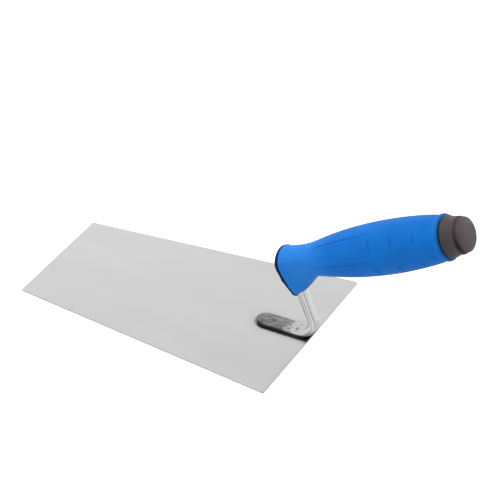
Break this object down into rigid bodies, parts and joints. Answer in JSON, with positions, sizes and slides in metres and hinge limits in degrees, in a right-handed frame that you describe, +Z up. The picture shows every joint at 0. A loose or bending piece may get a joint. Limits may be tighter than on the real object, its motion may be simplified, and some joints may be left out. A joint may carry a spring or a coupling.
{
  "type": "finishing trowel",
  "caption": "Hand trowel with a flat trapezium steel blade, a welded gooseneck tang and a slanted soft-grip handle with a hard butt cap.",
  "frame": {"origin": "middle of the blade's underside, halfway between its toe and heel edges", "axes": "+X from the toe towards the handle's butt, +Y across the blade, +Z up from the blade's underside"},
  "size_m": [0.3108, 0.1396, 0.1264],
  "materials": {
    "blade_steel": "satin",
    "tang_steel": "satin",
    "core_plastic": "matte",
    "grip_rubber": "matte",
    "cap_plastic": "satin",
    "washer_steel": "satin"
  },
  "bodies": {
    "root": {"blade": "blade_steel", "tang": "tang_steel", "weld_nuggets": "tang_steel", "handle_core": "core_plastic", "grip_sleeve": "grip_rubber", "front_cap": "cap_plastic", "end_cap": "cap_plastic", "lock_washer": "washer_steel"}
  },
  "joints": []
}
